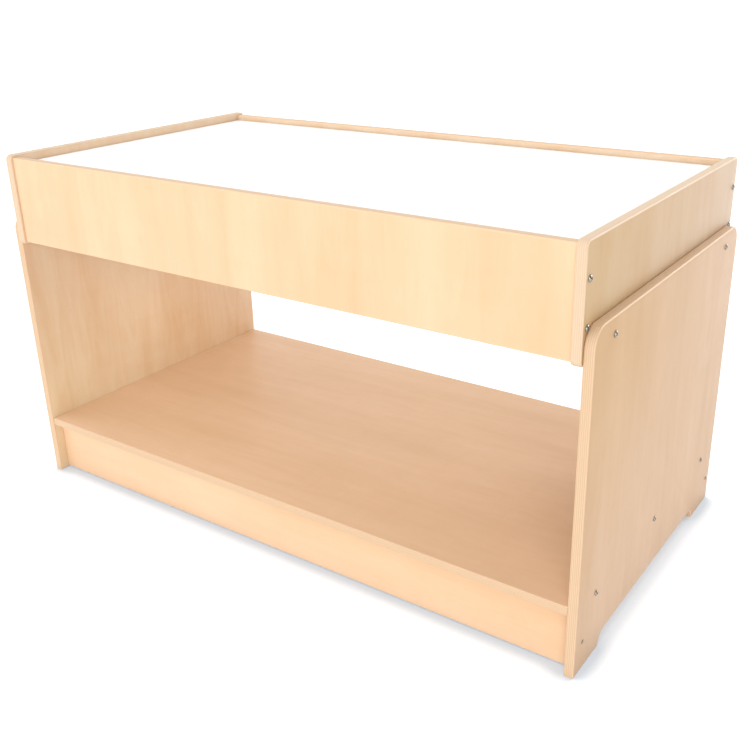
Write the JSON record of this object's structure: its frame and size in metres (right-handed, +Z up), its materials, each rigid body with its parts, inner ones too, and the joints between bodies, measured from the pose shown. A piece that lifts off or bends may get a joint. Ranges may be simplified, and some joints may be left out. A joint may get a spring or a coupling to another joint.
{
  "type": "sand and water table",
  "caption": "Low birch plywood play table with a boxed top, a lift-out tub with a drain, a white lift-off cover and a wide shelf near the floor.",
  "frame": {"origin": "on the floor under the middle of the table", "axes": "+X along the table towards its right end, -Y towards the front, +Z up"},
  "size_m": [1.2248, 0.643, 0.681],
  "materials": {
    "birch_ply": "clear satin lacquer on birch plywood, edges rounded over",
    "softwood": "bare planed softwood",
    "white_laminate": "smooth white laminate with a soft gloss",
    "tub_plastic": "smooth moulded polyethylene",
    "drain_plastic": "moulded grey plastic",
    "rubber": "moulded black rubber",
    "zinc_steel": "zinc plate, a little dulled, with dark driver recesses"
  },
  "bodies": {
    "frame": {"left_side_panel": "birch_ply", "right_side_panel": "birch_ply", "left_end_panel": "birch_ply", "right_end_panel": "birch_ply", "front_apron": "birch_ply", "rear_apron": "birch_ply", "shelf_panel": "birch_ply", "apron_bolt_front_left_lower": "zinc_steel", "apron_bolt_front_left_upper": "zinc_steel", "apron_bolt_front_right_lower": "zinc_steel", "apron_bolt_front_right_upper": "zinc_steel", "apron_bolt_rear_left_lower": "zinc_steel", "apron_bolt_rear_left_upper": "zinc_steel", "apron_bolt_rear_right_lower": "zinc_steel", "apron_bolt_rear_right_upper": "zinc_steel", "side_bolt_front_left": "zinc_steel", "side_bolt_front_right": "zinc_steel", "side_bolt_rear_left": "zinc_steel", "side_bolt_rear_right": "zinc_steel", "shelf_screw_front_left": "zinc_steel", "shelf_screw_middle_left": "zinc_steel", "shelf_screw_rear_left": "zinc_steel", "rail_screw_front_left": "zinc_steel", "rail_screw_rear_left": "zinc_steel", "shelf_screw_front_right": "zinc_steel", "shelf_screw_middle_right": "zinc_steel", "shelf_screw_rear_right": "zinc_steel", "rail_screw_front_right": "zinc_steel", "rail_screw_rear_right": "zinc_steel", "front_rail": "birch_ply", "rear_rail": "birch_ply", "t_nut_front_left": "zinc_steel", "t_nut_front_right": "zinc_steel", "t_nut_rear_left": "zinc_steel", "t_nut_rear_right": "zinc_steel", "barrel_nut_front_left_lower": "zinc_steel", "barrel_nut_front_left_upper": "zinc_steel", "barrel_nut_front_right_lower": "zinc_steel", "barrel_nut_front_right_upper": "zinc_steel", "barrel_nut_rear_left_lower": "zinc_steel", "barrel_nut_rear_left_upper": "zinc_steel", "barrel_nut_rear_right_lower": "zinc_steel", "barrel_nut_rear_right_upper": "zinc_steel", "front_ledger": "softwood", "rear_ledger": "softwood", "left_ledger": "softwood", "right_ledger": "softwood"},
    "tub": {"tub": "tub_plastic", "drain_fitting": "drain_plastic", "drain_gasket": "rubber", "drain_nut": "drain_plastic"},
    "drain_plug": {"drain_plug": "rubber"},
    "cover": {"cover_panel": "white_laminate"}
  },
  "joints": [
    {"name": "tub_lift", "type": "slide", "parent": "frame", "child": "tub", "axis": [0, 0, 1], "range_m": [0, 0.2]},
    {"name": "plug_pull", "type": "slide", "parent": "tub", "child": "drain_plug", "axis": [0, 0, 1], "range_m": [0, 0.03]},
    {"name": "cover_lift", "type": "slide", "parent": "tub", "child": "cover", "axis": [0, 0, 1], "range_m": [0, 0.25]}
  ]
}
